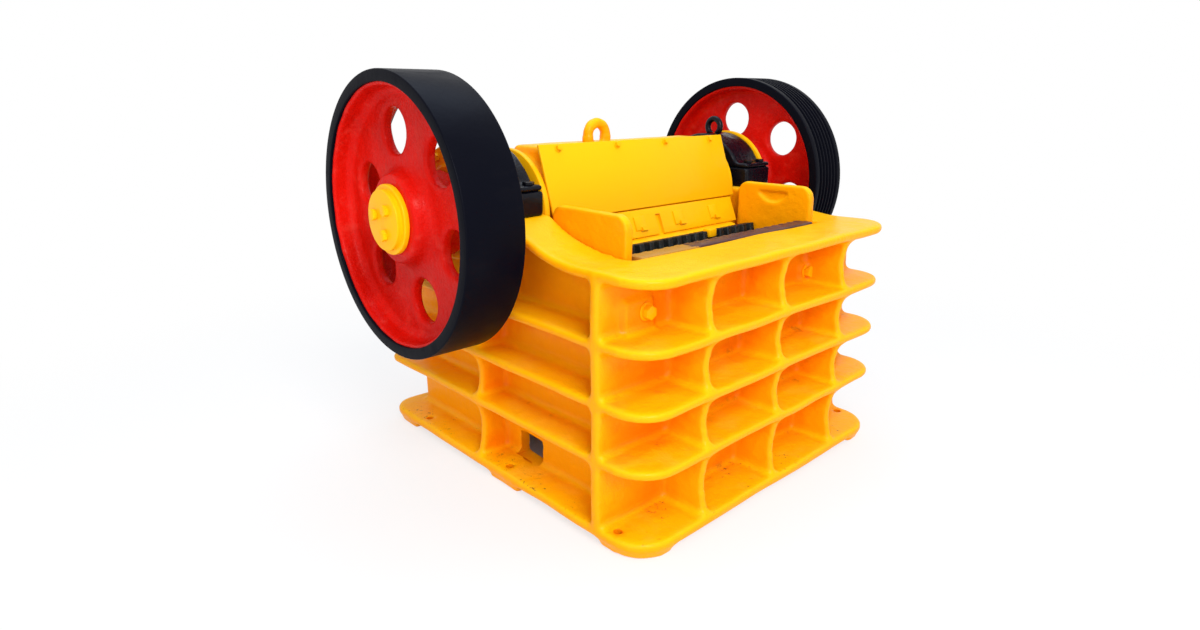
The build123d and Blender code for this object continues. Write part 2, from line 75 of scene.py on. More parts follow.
eye = bpy.data.cameras.new("eye")
eye.lens = LENS
eye.sensor_width = SENSOR
eye.shift_y = SHIFT_Y
eye.clip_start = 0.05
eye.clip_end = 60
camera = bpy.data.objects.new("camera", eye)
bpy.context.scene.collection.objects.link(camera)
heading = turn(-CAMERA_HEADING, "Z") @ turn(90 - CAMERA_DIP, "X") @ turn(CAMERA_ROLL, "Z")
camera.matrix_world = Matrix.Translation(CAMERA_PLACE) @ heading
bpy.context.scene.camera = camera
bpy.context.scene.view_settings.view_transform = "Standard"
print("camera at", [round(x, 3) for x in camera.location])

# %% [markdown]
# Shader maths reads best as plain arithmetic. A small class holds one socket of a material,
# and its operators add the Math nodes. Every other node comes from one method, which takes
# the node's type, its settings and what goes into its sockets.

# %% Sockets with arithmetic
SHADER = "ShaderNode"


class Wire:
    """One socket of a finish. Arithmetic on it adds Math nodes."""

    def __init__(self, finish, socket):
        self.finish = finish
        self.socket = socket

    def maths(self, operation, first, second):
        return self.finish.node("Math", {"operation": operation}, {0: first, 1: second})

    def __add__(self, other):
        return self.maths("ADD", self, other)

    def __radd__(self, other):
        return self.maths("ADD", other, self)

    def __sub__(self, other):
        return self.maths("SUBTRACT", self, other)

    def __rsub__(self, other):
        return self.maths("SUBTRACT", other, self)

    def __mul__(self, other):
        return self.maths("MULTIPLY", self, other)

    def __rmul__(self, other):
        return self.maths("MULTIPLY", other, self)


class Finish:
    """A material in the making: one Principled shader and the pattern of Object coordinates."""

    def __init__(self, name, **constants):
        self.material = bpy.data.materials.new(name)
        self.material.use_nodes = True
        self.tree = self.material.node_tree
        self.shader = self.tree.nodes["Principled BSDF"]
        for socket, value in constants.items():
            self.shader.inputs[socket.replace("_", " ")].default_value = value
        self.place = self.node("TexCoord", output="Object")

    def node(self, kind, settings=None, inputs=None, output=0):
        made = self.tree.nodes.new(SHADER + kind)
        for name, value in (settings or {}).items():
            setattr(made, name, value)
        for key, value in (inputs or {}).items():
            if isinstance(value, Wire):
                self.tree.links.new(value.socket, made.inputs[key])
            else:
                made.inputs[key].default_value = value
        return Wire(self, made.outputs[output])

    def noise(self, scale, detail=3.0, roughness=0.55, place=None, stretch=None):
        """Noise between 0 and 1. A stretch makes its grains longer along some axes."""
        place = place or self.place
        if stretch:
            place = self.node("Mapping", inputs={"Vector": place, "Scale": stretch})
        inputs = {"Vector": place, "Scale": scale, "Detail": detail, "Roughness": roughness}
        return self.node("TexNoise", inputs=inputs)

    def between(self, value, low, high):
        """0 below low, 1 above high, and a smooth step between them."""
        settings = {"interpolation_type": "SMOOTHSTEP"}
        inputs = {"Value": value, "From Min": low, "From Max": high}
        return self.node("MapRange", settings, inputs)

    def mix(self, share, first, second):
        """The first colour where share is 0, and the second where it is 1."""
        settings = {"data_type": "RGBA"}
        return self.node("Mix", settings, {0: share, 6: first, 7: second}, output=2)

    def part(self, vector, axis):
        """One coordinate of a vector."""
        return self.node("SeparateXYZ", inputs={0: vector}, output="XYZ".index(axis))

    def facing_up(self, low=0.5, high=0.95):
        """1 on faces that look up."""
        up = self.part(self.node("NewGeometry", output="Normal"), "Z")
        return self.between(up, low, high)

    def maths_max(self, first, second):
        """The larger of two values."""
        return self.node("Math", {"operation": "MAXIMUM"}, {0: first, 1: second})

    def set(self, **wires):
        for socket, wire in wires.items():
            self.tree.links.new(wire.socket, self.shader.inputs[socket.replace("_", " ")])

    def relief(self, *layers):
        """Bump from (height, depth in metres) layers."""
        normal = None
        for height, depth in layers:
            inputs = {"Height": height, "Distance": depth, "Strength": 1.0}
            if normal:
                inputs["Normal"] = normal
            normal = self.node("Bump", inputs=inputs)
        self.set(Normal=normal)


def colour(red, green, blue):
    """An opaque colour, linear."""
    return (red, green, blue, 1.0)


# %% [markdown]
# The casting wears amber enamel, sprayed by hand over a red primer. Level faces are painted
# a lighter yellow and upright ones a deeper orange, a painted top light, and the cells a deep
# orange, painted shade. A "recess" value stored on the mesh says how enclosed each point is;
# the painted shade and the dark smudges, partly dirt and partly painted shade, follow it.

# %% Amber enamel
# The first colour goes on level faces and the amber below it on upright ones: a painted top
# light.
LIT_TOP_AMBER = colour(0.98, 0.49, 0.002)
AMBER = colour(0.95, 0.36, 0.001)
# Deep orange for the recesses of the cells: painted shade.
PAINTED_SHADE_AMBER = colour(0.88, 0.20, 0.0005)
SHEET_AMBER = colour(0.98, 0.47, 0.002)
PALE_DUST = colour(0.97, 0.66, 0.13)
# Dark brown for the grit, and for the smudges that are partly dirt and partly painted shade.
DIRT_AND_SHADE_BROWN = colour(0.10, 0.035, 0.012)
GRIT_HEIGHT = 0.052


def enamel(name, skin_depth, top, side, dusty=0.15, with_dirt_and_shade=False):
    """Amber paint. The skin depth is how rough the metal under it is."""
    paint = Finish(name, Coat_Roughness=0.18, Specular_IOR_Level=0.06)
    drift = paint.noise(3.1, 2.0) - 0.5
    # Level faces lighter yellow, upright faces more orange: a painted top light.
    level = paint.facing_up(0.0, 0.9)
    hue = paint.mix(level + 0.5 * drift, side, top)
    dust = paint.between(paint.noise(9.0, 5.0, 0.65), 0.46, 0.78)
    hue = paint.mix(dust * paint.facing_up() * dusty, hue, PALE_DUST)
    # The recess marks below are painted shade in the cells, dark smudges that are partly dirt
    # and partly painted shade, and grit.
    if with_dirt_and_shade:
        recess = paint.node("Attribute", {"attribute_name": "recess"}, output="Fac")
        specks = paint.between(paint.noise(62.0, 6.0, 0.8), 0.56, 0.65)
        patches = paint.between(paint.noise(7.5, 3.0), 0.49, 0.60)
        low = 1 - paint.between(paint.part(paint.place, "Z"), GRIT_HEIGHT, GRIT_HEIGHT + 0.012)
        grit = specks * patches * low * paint.facing_up()
        # Dark brown smudges where the recess value is high, more on level faces: partly dirt,
        # partly painted shade.
        smudges_and_shade = paint.between(paint.noise(19.0, 6.0, 0.72), 0.53, 0.70)
        # Deep orange where the recess value is high, less on level faces: painted shade in the
        # cells.
        thin = paint.between(recess + 0.25 * drift, 0.12, 0.85)
        hue = paint.mix(thin * (1 - 0.45 * level), hue, PAINTED_SHADE_AMBER)
        enclosed = paint.between(recess, 0.30, 0.75)
        hue = paint.mix(smudges_and_shade * enclosed * (0.12 + 0.4 * level), hue, DIRT_AND_SHADE_BROWN)
        hue = paint.mix(grit, hue, DIRT_AND_SHADE_BROWN)
    paint.set(Base_Color=hue)
    paint.set(Roughness=0.34 + 0.22 * dust)
    paint.set(Coat_Weight=0.08 - 0.06 * dust)
    paint.relief(
        (paint.noise(34.0, 4.0, 0.6), skin_depth),
        (paint.noise(210.0, 2.0), skin_depth * 0.12),
    )
    return paint.material


amber_cast = enamel("amber_cast", 0.0036, LIT_TOP_AMBER, AMBER, with_dirt_and_shade=True)
amber_plate = enamel("amber_plate", 0.0012, LIT_TOP_AMBER, SHEET_AMBER)
print("amber finishes made")

# %% [markdown]
# The wheels are red inside and black outside. The red is brushed on rough castings, so its
# bump is coarse, with faint pale patches that are partly scuffs and partly painted highlights.
# The black rims are turned smooth: fine lathe marks run round the axle, under a dull coat
# with a few pits, and their black has a slight blue tint, a painted blue sheen.

# %% Wheel paints
RED = colour(0.66, 0.006, 0.002)
DEEP_RED = colour(0.50, 0.004, 0.001)
# Pale red for patches that are partly scuffs and partly painted highlights.
WORN_RED_AND_HIGHLIGHT = colour(0.72, 0.08, 0.05)
# The slight blue in this black is a painted blue sheen.
BLACK_WITH_BLUE_SHEEN = colour(0.0018, 0.0022, 0.0055)
WORN_BLACK = colour(0.005, 0.005, 0.008)


def wheel_red():
    paint = Finish("wheel_red", Coat_Roughness=0.2, Specular_IOR_Level=0.06)
    drift = paint.between(paint.noise(5.0, 3.0), 0.35, 0.7)
    # Faint pale patches at random: partly scuffs, partly painted highlights.
    scuffs_and_highlights = paint.between(paint.noise(26.0, 6.0, 0.7), 0.50, 0.70)
    hue = paint.mix(drift, RED, DEEP_RED)
    hue = paint.mix(scuffs_and_highlights * 0.2, hue, WORN_RED_AND_HIGHLIGHT)
    paint.set(Base_Color=hue)
    paint.set(Roughness=0.36 + 0.2 * scuffs_and_highlights)
    paint.set(Coat_Weight=0.04 + 0.06 * scuffs_and_highlights)
    paint.relief((paint.noise(60.0, 5.0, 0.62), 0.0040), (paint.noise(260.0, 2.0), 0.0005))
    return paint.material


def turned_black():
    paint = Finish("turned_black", Coat_Roughness=0.3, Specular_IOR_Level=0.03)
    smear = paint.between(paint.noise(14.0, 6.0, 0.65, stretch=(0.4, 1.0, 1.0)), 0.52, 0.74)
    pits = paint.between(paint.noise(95.0, 3.0, stretch=(1.8, 0.7, 0.7)), 0.66, 0.72)
    patch = paint.between(paint.noise(4.2, 1.0), 0.50, 0.60)
    lathe = paint.noise(900.0, 2.0, stretch=(1.0, 0.02, 0.02))
    # Its black has a slight blue tint, a painted blue sheen.
    paint.set(Base_Color=paint.mix(smear * 0.5, BLACK_WITH_BLUE_SHEEN, WORN_BLACK))
    paint.set(Roughness=0.40 + 0.15 * smear)
    paint.set(Coat_Weight=0.02 - 0.01 * smear)
    paint.relief((1 - pits * patch, 0.0012), (lathe, 0.00004), (paint.noise(18.0), 0.0012))
    return paint.material


def cast_black():
    paint = Finish("cast_black", Coat_Roughness=0.15, Specular_IOR_Level=0.12)
    smear = paint.between(paint.noise(17.0, 5.0, 0.65), 0.50, 0.75)
    # Its black has a slight blue tint, a painted blue sheen.
    paint.set(Base_Color=paint.mix(smear * 0.55, BLACK_WITH_BLUE_SHEEN, WORN_BLACK))
    paint.set(Roughness=0.26 + 0.25 * smear)
    paint.set(Coat_Weight=0.12 - 0.08 * smear)
    paint.relief((paint.noise(48.0, 4.0, 0.6), 0.0030), (paint.noise(240.0), 0.0004))
    return paint.material


wheel_red_paint = wheel_red()
turned_black_paint = turned_black()
cast_black_paint = cast_black()

# %% [markdown]
# The jaws are manganese steel. The swinging one has been dipped in black, and its crests are
# rubbed a little. The fixed one shows a brown, oily top edge, with amber overspray at the
# left end of the mouth. Rods, nuts and the toggle plate stay bare, grey and lightly rusted.

# %% Steels
JAW_BLACK = colour(0.004, 0.005, 0.005)
JAW_RUBBED = colour(0.030, 0.040, 0.036)
BROWN_STEEL = colour(0.080, 0.034, 0.036)
PALE_STEEL = colour(0.20, 0.15, 0.15)
GREY_STEEL = colour(0.30, 0.29, 0.28)
RUST = colour(0.20, 0.075, 0.03)
OVERSPRAY = colour(0.42, 0.21, 0.03)
OVERSPRAY_END = -0.17


def jaw_black():
    steel = Finish("jaw_black", Specular_IOR_Level=0.2)
    rubbed = steel.between(steel.noise(45.0, 5.0, 0.7), 0.48, 0.72)
    steel.set(Base_Color=steel.mix(rubbed * 0.6, JAW_BLACK, JAW_RUBBED))
    steel.set(Roughness=0.42 + 0.2 * rubbed)
    steel.set(Metallic=0.3 * rubbed)
    steel.relief((steel.noise(70.0, 5.0, 0.65), 0.0030))
    return steel.material


def jaw_brown():
    steel = Finish("jaw_brown", Specular_IOR_Level=0.25)
    pale = steel.between(steel.noise(38.0, 6.0, 0.7, stretch=(0.5, 1.0, 1.0)), 0.50, 0.75)
    ragged = steel.part(steel.place, "X") + 0.35 * (steel.noise(9.0, 5.0, 0.7) - 0.5)
    bare = steel.between(ragged, OVERSPRAY_END - 0.004, OVERSPRAY_END + 0.004)
    hue = steel.mix(pale * 0.6, BROWN_STEEL, PALE_STEEL)
    steel.set(Base_Color=steel.mix(bare, OVERSPRAY, hue))
    steel.set(Roughness=0.40 + 0.15 * pale)
    steel.set(Metallic=0.35 * bare)
    steel.relief((steel.noise(60.0, 5.0, 0.65), 0.0030))
    return steel.material


def bare_steel():
    steel = Finish("bare_steel")
    rusty = steel.between(steel.noise(28.0, 6.0, 0.7), 0.48, 0.70)
    steel.set(Base_Color=steel.mix(rusty, GREY_STEEL, RUST))
    steel.set(Roughness=0.34 + 0.35 * rusty)
    steel.set(Metallic=0.9 - 0.7 * rusty)
    steel.relief((steel.noise(80.0, 4.0, 0.6), 0.0012))
    return steel.material


jaw_black_steel = jaw_black()
jaw_brown_steel = jaw_brown()
plain_steel = bare_steel()
print("materials:", len(bpy.data.materials))

# %% [markdown]
# Two ways of making a piece come back all through this machine. Castings are fused from the
# construction solids by a voxel skin: swelling the skin and shrinking it again leaves a
# round fillet in every inner corner, and shrinking and swelling rounds the outer edges.
# Turned parts are a rounded half section, spun round the shaft.

# %% Pieces from bmeshes
WELD = 0.00002


def placed(name, shape, material, body):
    """The object of a finished bmesh, riding on its body."""
    mesh = bpy.data.meshes.new(name)
    shape.to_mesh(mesh)
    shape.free()
    piece = bpy.data.objects.new(name, mesh)
    bpy.context.scene.collection.objects.link(piece)
    mesh.materials.append(material)
    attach(piece, body)
    return piece


def applied(piece):
    """Makes the piece's modifiers part of its mesh."""
    graph = bpy.context.evaluated_depsgraph_get()
    made = bpy.data.meshes.new_from_object(piece.evaluated_get(graph))
    piece.modifiers.clear()
    piece.data = made


def smooth(piece, angle=35):
    """Smooth shading, with creases where faces meet at more than the angle."""
    for face in piece.data.polygons:
        face.use_smooth = True
    piece.data.set_sharp_from_angle(angle=math.radians(angle))


def solids(*names):
    """The merged meshes of construction nodes, as one bmesh."""
    shape = bmesh.new()
    for name in names:
        shape.from_mesh(nodes[name].data)
    bmesh.ops.remove_doubles(shape, verts=shape.verts[:], dist=WELD)
    return shape


# %% [markdown]
# The voxel skin is a stack of modifiers, applied at once. The wobble is a slow noise along
# the surface: no flange of a sand casting is quite straight. Its seed is set, because the
# noise would otherwise start from the time of day and differ in each run.

# %% Castings
WOBBLE_SEED = 7
WOBBLE_SIDEWAYS = 0.3
noise.seed_set(WOBBLE_SEED)


def skinned(piece, voxel, steps, softening):
    """A voxel skin that is swollen or shrunk by each step, and skinned again."""
    for step in [0, *steps]:
        if step:
            swell = piece.modifiers.new("swell", "DISPLACE")
            swell.mid_level = 0
            swell.strength = step
        skin = piece.modifiers.new("skin", "REMESH")
        skin.mode = "VOXEL"
        skin.voxel_size = voxel
    soften = piece.modifiers.new("soften", "SMOOTH")
    soften.iterations = softening
    applied(piece)


def wobbled(piece, depth, pitch):
    """Slow noise along the normals, the same each time. All points are moved at once, at the
    end, because each single move would make the mesh work out its normals again."""
    moved = []
    for vertex in piece.data.vertices:
        sway = noise.noise_vector(vertex.co / pitch)
        outward = sway.dot(vertex.normal) * vertex.normal
        moved.extend(vertex.co + depth * (outward + WOBBLE_SIDEWAYS * sway))
    piece.data.vertices.foreach_set("co", moved)
    piece.data.update()


def thinned(piece, triangles):
    """Fewer triangles, where the surface is flat."""
    count = sum(len(face.vertices) - 2 for face in piece.data.polygons)
    if count > triangles:
        thin = piece.modifiers.new("thin", "DECIMATE")
        thin.ratio = triangles / count
        applied(piece)
    print(piece.name, "triangles:", count, "->", min(count, triangles))


def cast(piece, voxel, fillet, edge, triangles, softening=2, wobble=0.0, pitch=0.12):
    """Turns crude solids into one casting with fillets inside and round edges outside."""
    skinned(piece, voxel, [fillet, -fillet - edge, edge], softening)
    if wobble:
        wobbled(piece, wobble, pitch)
    thinned(piece, triangles)
    smooth(piece, 60)
    return piece


# %% [markdown]
# A turned part starts as its half section: a few points, each with the radius that its
# corner is rounded to. The section lies in the X-Z plane, x along the shaft.

# %% Turned parts
def turned(section, middle, steps=144):
    """A section of (x, radius, rounding) points, spun round the X axis through the middle."""
    shape = bmesh.new()
    corners = [shape.verts.new((x, 0, radius)) for x, radius, _ in section]
    shape.faces.new(corners)
    for rounding in sorted({point[2] for point in section if point[2] > 0}):
        chosen = [corner for corner, point in zip(corners, section) if point[2] == rounding]
        bmesh.ops.bevel(
            shape,
            geom=chosen,
            affect="VERTICES",
            offset=rounding,
            segments=4,
            profile=0.5,
            material=-1,
        )
    bmesh.ops.delete(shape, geom=shape.faces[:], context="FACES_ONLY")
    on_axis = [e for e in shape.edges if all(abs(v.co.z) < WELD for v in e.verts)]
    bmesh.ops.delete(shape, geom=on_axis, context="EDGES")
    bmesh.ops.spin(
        shape,
        geom=shape.verts[:] + shape.edges[:],
        axis=(1, 0, 0),
        cent=(0, 0, 0),
        angle=2 * math.pi,
        steps=steps,
        use_merge=True,
    )
    bmesh.ops.remove_doubles(shape, verts=shape.verts[:], dist=WELD)
    bmesh.ops.recalc_face_normals(shape, faces=shape.faces[:])
    bmesh.ops.translate(shape, verts=shape.verts[:], vec=middle)
    return shape


# %% [markdown]
# Small parts are boxes and bolts. A bolt is a hexagon with its edges rounded. It is made in a
# lay, a matrix whose Z axis looks out of the surface, so that the same bolt serves on the
# wheels, the guard and the frame.

# %% Boxes and bolts
def lay_on(place, outward, upward=(0, 0, 1)):
    """A matrix at a place: Z looks outward, and Y as far upward as it can."""
    z = Vector(outward).normalized()
    x = Vector(upward).cross(z).normalized()
    y = z.cross(x)
    turned_axes = Matrix((x, y, z)).transposed().to_4x4()
    return Matrix.Translation(place) @ turned_axes


def rounded_edges(shape, edges, width, segments=2):
    """Bevels edges of a shape, and keeps narrow faces from folding over."""
    bmesh.ops.bevel(
        shape,
        geom=edges,
        affect="EDGES",
        offset=width,
        segments=segments,
        profile=0.5,
        material=-1,
        clamp_overlap=True,
    )


def edges_of(corners):
    """Every edge that starts at one of the corners, once, in a fixed order."""
    return list(dict.fromkeys(edge for corner in corners for edge in corner.link_edges))


def add_block(shape, middle, half, lay=None, rounding=0.0):
    """A box about its middle, in a lay if one is given."""
    size = Matrix.Diagonal((2 * half[0], 2 * half[1], 2 * half[2], 1))
    place = (lay or Matrix.Identity(4)) @ Matrix.Translation(middle) @ size
    corners = bmesh.ops.create_cube(shape, size=1, matrix=place)["verts"]
    if rounding:
        rounded_edges(shape, edges_of(corners), rounding)


def add_disc(shape, lay, low, high, radius, rounding=0.0, segments=32):
    """A round or many-sided disc between two heights over its lay."""
    made = bmesh.ops.create_cone(
        shape,
        cap_ends=True,
        segments=segments,
        radius1=radius,
        radius2=radius,
        depth=high - low,
        matrix=lay @ Matrix.Translation((0, 0, (low + high) / 2)),
    )
    if rounding:
        rims = [e for e in edges_of(made["verts"]) if len(e.link_faces) == 2]
        caps = [e for e in rims if any(len(face.verts) == segments for face in e.link_faces)]
        rounded_edges(shape, caps, rounding)


def add_bolt(shape, lay, across, height, washer=0.0):
    """A hexagon head on its lay, on a washer if one is given."""
    seat = 0.0
    if washer:
        seat = height * 0.2
        add_disc(shape, lay, 0, seat, washer / 2, rounding=seat * 0.3, segments=28)
    add_disc(shape, lay, seat, seat + height, across / math.sqrt(3), height * 0.12, segments=6)


# %% [markdown]
# Many construction solids only need softer edges. A copy is merged, its flat faces are
# dissolved into whole ones, and every edge that turns by more than the angle is bevelled.

# %% Construction solids with soft edges
def softened(name, width, material, body, angle=35, segments=2):
    """A construction solid whose sharp edges are rounded."""
    shape = solids(name)
    flat = math.radians(1)
    bmesh.ops.dissolve_limit(shape, angle_limit=flat, verts=shape.verts[:], edges=shape.edges[:])
    limit = math.radians(angle)
    sharp = [e for e in shape.edges if e.is_manifold and e.calc_face_angle(0) > limit]
    rounded_edges(shape, sharp, width, segments)
    piece = placed(name + "_finished", shape, material, body)
    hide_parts(name)
    smooth(piece, angle)
    return piece


def cast_node(name, material, body, slot, voxel, fillet, edge, triangles, **more):
    """A construction solid as a casting."""
    piece = placed(name + "_cast", solids(name), material, body)
    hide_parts(name)
    return cast(piece, voxel, fillet, edge, triangles, **more)


def joined(first, *others):
    """Several bmeshes as one."""
    for other in others:
        carrier = bpy.data.meshes.new("carrier")
        other.to_mesh(carrier)
        other.free()
        first.from_mesh(carrier)
        bpy.data.meshes.remove(carrier)
    return first


print("helpers ready")

# %% [markdown]
# The frame is the big casting: base plate, four walls, three ring flanges and the top one,
# the ribs between them and the curved ledges that carry the bearings. Small fillets run
# along all the cell corners. Two raised pads for the bolts of the fixed jaw are cast on the
# front wall.

# %% Frame casting
CASTING_NODES = [
    "base_plate",
    "front_wall",
    "rear_wall",
    "left_wall",
    "right_wall",
    "lower_flange",
    "middle_flange",
    "upper_flange",
    "top_front_flange",
    "top_rear_flange",
    "left_bearing_ledge",
    "right_bearing_ledge",
    "front_rib_left",
    "front_rib_middle",
    "front_rib_right",
    "rear_rib_left",
    "rear_rib_middle",
    "rear_rib_right",
    "left_side_rib",
    "right_side_rib",
]
CASTING_VOXEL = 0.005
CASTING_FILLET = 0.007
CASTING_EDGE = 0.0045
CASTING_TRIANGLES = 190000
front_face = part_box("front_wall")[0].y
PADS = [
    ((-0.408, front_face, 0.553), (0.047, 0.014, 0.033)),
    ((0.276, front_face, 0.541), (0.024, 0.012, 0.024)),
]

frame_shape = solids(*CASTING_NODES)
for middle, half in PADS:
    add_block(frame_shape, middle, half)
casting = placed("frame_casting", frame_shape, amber_cast, "frame")
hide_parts(*CASTING_NODES)
cast(
    casting,
    CASTING_VOXEL,
    CASTING_FILLET,
    CASTING_EDGE,
    CASTING_TRIANGLES,
    wobble=0.0028,
    pitch=0.15,
)

# %% [markdown]
# The foundation holes are narrower than twice the fillet, so the skin has closed them, and it
# has rounded the window in each side wall. The holes are drilled now, and the windows are
# cut square again.

# %% Foundation holes and windows
HOLE_RADIUS = 0.011
HOLE_X = 0.496
HOLE_Y = [-0.4705, -0.045, 0.3805]
WINDOW_X = 0.410
WINDOW_MIDDLE = (-0.0525, 0.0815)
WINDOW_HALF = (0.030, 0.0485, 0.0345)
base_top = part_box("base_plate")[1].z


def drilled(piece, cutters):
    """Cuts the cutters' shapes out of a piece."""
    tool_mesh = bpy.data.meshes.new("drill")
    cutters.to_mesh(tool_mesh)
    cutters.free()
    tool = bpy.data.objects.new("drill", tool_mesh)
    bpy.context.scene.collection.objects.link(tool)
    cut = piece.modifiers.new("cut", "BOOLEAN")
    cut.object = tool
    cut.solver = "FAST"
    applied(piece)
    bpy.data.objects.remove(tool)


holes = bmesh.new()
for x in (-HOLE_X, HOLE_X):
    for y in HOLE_Y:
        bmesh.ops.create_cone(
            holes,
            cap_ends=True,
            segments=32,
            radius1=HOLE_RADIUS,
            radius2=HOLE_RADIUS,
            depth=4 * base_top,
            matrix=Matrix.Translation((x, y, base_top)),
        )
for x in (-WINDOW_X, WINDOW_X):
    add_block(holes, (x, *WINDOW_MIDDLE), WINDOW_HALF)
drilled(casting, holes)

# %% [markdown]
# The deep orange painted shade and the dark smudges, partly dirt and partly painted shade, are
# laid where a point sees little of the sky. Each vertex of the casting sends a few rays out,
# and the share that soon hits something is kept on the mesh as "recess".

# %% How enclosed each point is
RECESS_RAYS = 10
RECESS_REACH = 0.09
RECESS_LIFT = 0.002


def store_recess(piece):
    """Writes the share of rays that hit the piece itself within the reach."""
    fan = random.Random(4)
    rays = [Vector([fan.gauss(0, 1) for _ in range(3)]).normalized() for _ in range(RECESS_RAYS)]
    graph = bpy.context.evaluated_depsgraph_get()
    tree = BVHTree.FromObject(piece, graph)
    shares = []
    for vertex in piece.data.vertices:
        start = vertex.co + vertex.normal * RECESS_LIFT
        hits = 0
        for ray in rays:
            ahead = ray if ray.dot(vertex.normal) > 0 else -ray
            if tree.ray_cast(start, ahead, RECESS_REACH)[0]:
                hits += 1
        shares.append(hits / RECESS_RAYS)
    values = piece.data.attributes.new("recess", "FLOAT", "POINT")
    values.data.foreach_set("value", shares)
    print("recess on", piece.name, "mean", round(sum(shares) / len(shares), 2))


store_recess(casting)

# %% [markdown]
# Each wheel is one casting with a turned rim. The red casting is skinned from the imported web
# and a thin liner that stands for the inside of the rim, so that the web runs into both in a
# wide fillet. The black rim is spun from its section, with the belt grooves on the pulley.

# %% Wheels
AXLE = Vector((0, 0.0675, 0.742))
RIM_RADIUS = 0.341
LINER_RADIUS = 0.305
RIM_STEP_RADIUS = 0.313
RIM_ROUND = 0.003
LINER_SETBACK = 0.005
LINER_OVERLAP = 0.008
GROOVE_COUNT = 6
GROOVE_PITCH = 0.019
GROOVE_DEPTH = 0.013
GROOVE_TOP = 0.014
GROOVE_BOTTOM = 0.007
GROOVE_ROUND = 0.001
WEB_VOXEL = 0.004
WEB_FILLET = 0.013
WEB_EDGE = 0.003
WEB_TRIANGLES = 90000


def rim_section(x_in, x_out, grooves):
    """The outline of a rim, from its inner corner round by the outside."""
    middle = (x_in + x_out) / 2
    section = [(x_in, RIM_STEP_RADIUS, RIM_ROUND), (x_in, RIM_RADIUS, RIM_ROUND)]
    for groove in range(grooves):
        x = middle + (groove - (grooves - 1) / 2) * GROOVE_PITCH
        section.append((x - GROOVE_TOP / 2, RIM_RADIUS, GROOVE_ROUND))
        section.append((x - GROOVE_BOTTOM / 2, RIM_RADIUS - GROOVE_DEPTH, GROOVE_ROUND))
        section.append((x + GROOVE_BOTTOM / 2, RIM_RADIUS - GROOVE_DEPTH, GROOVE_ROUND))
        section.append((x + GROOVE_TOP / 2, RIM_RADIUS, GROOVE_ROUND))
    section.append((x_out, RIM_RADIUS, RIM_ROUND))
    section.append((x_out, RIM_STEP_RADIUS, RIM_ROUND))
    return section


def wheel(name, side, grooves):
    """The black rim and the red casting of one wheel. The side, -1 or 1 along X, is not used."""
    low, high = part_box(name + "_rim")
    rim = turned(rim_section(low.x, high.x, grooves), AXLE)
    rim = placed(name + "_turned_rim", rim, turned_black_paint, "shaft")
    smooth(rim)
    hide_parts(name + "_rim")
    inner, outer = low.x + LINER_SETBACK, high.x - LINER_SETBACK
    under_rim = RIM_STEP_RADIUS + LINER_OVERLAP
    liner = [
        (inner, LINER_RADIUS, 0),
        (inner, under_rim, 0),
        (outer, under_rim, 0),
        (outer, LINER_RADIUS, 0),
    ]
    red = turned(liner, AXLE)
    red.from_mesh(nodes[name + "_web"].data)
    bmesh.ops.remove_doubles(red, verts=red.verts[:], dist=WELD)
    red = placed(name + "_casting", red, wheel_red_paint, "shaft")
    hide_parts(name + "_web")
    cast(red, WEB_VOXEL, WEB_FILLET, WEB_EDGE, WEB_TRIANGLES, wobble=0.0012, pitch=0.05)


wheel("flywheel", -1, 0)
wheel("pulley", 1, GROOVE_COUNT)

# %% [markdown]
# A yellow cap closes each end of the shaft: a wide disc, a smaller one on it, and three bolts
# that hold both to the shaft.

# %% Shaft end caps
CAP_RADIUS = 0.084
CAP_FACE_RADIUS = 0.073
CAP_STEP = 0.013
CAP_BOLT_COUNT = 3
CAP_BOLT_CIRCLE = 0.036
CAP_BOLT_TURN = 16
CAP_BOLT_ACROSS = 0.024
CAP_BOLT_HEIGHT = 0.011
cap_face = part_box("shaft_end_caps")[1].x


def spoke(angle, radius):
    """The way from the axle to a point on a circle about it."""
    return Vector((0, math.cos(angle), math.sin(angle))) * radius


def end_cap(side):
    """The cap on the left, -1, or right, 1, end of the shaft."""
    step = side * (cap_face - CAP_STEP)
    section = [
        (side * (cap_face - 2 * CAP_STEP), 0, 0),
        (side * (cap_face - 2 * CAP_STEP), CAP_RADIUS, 0.002),
        (step, CAP_RADIUS, 0.003),
        (step, CAP_FACE_RADIUS, 0),
        (side * cap_face, CAP_FACE_RADIUS, 0.003),
        (side * cap_face, 0, 0),
    ]
    shape = turned(section, AXLE, steps=72)
    face_middle = AXLE + Vector((side * cap_face, 0, 0))
    for bolt in range(CAP_BOLT_COUNT):
        angle = math.radians(CAP_BOLT_TURN + bolt * 360 / CAP_BOLT_COUNT)
        lay = lay_on(face_middle + spoke(angle, CAP_BOLT_CIRCLE), (side, 0, 0))
        add_bolt(shape, lay, CAP_BOLT_ACROSS, CAP_BOLT_HEIGHT)
    return shape


caps = joined(end_cap(-1), end_cap(1))
caps = placed("end_caps", caps, amber_plate, "shaft")
smooth(caps)
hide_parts("shaft_end_caps")

# %% [markdown]
# The bearings sit in black cast housings, each split into a base and a cap with two bolts in
# every ear. Turned covers close them, and an eye on each cap lifts it off.

# %% Bearing housings
HOUSING_VOXEL = 0.004
EAR_BOLT_ACROSS = 0.026
EAR_BOLT_HEIGHT = 0.008
EAR_BOLT_SETBACK = 0.020
EAR_BOLT_INSET = 0.033
EAR_TOP = 0.815
COVER_RISE = 0.004
COVER_STEP = 0.008
COVER_STEP_FOOT = 0.122
COVER_STEP_TOP = 0.114
COVER_BOLT_COUNT = 8
COVER_BOLT_CIRCLE = 0.143
COVER_BOLT_ACROSS = 0.019
COVER_BOLT_HEIGHT = 0.009
SHAFT_ROOM = 0.073

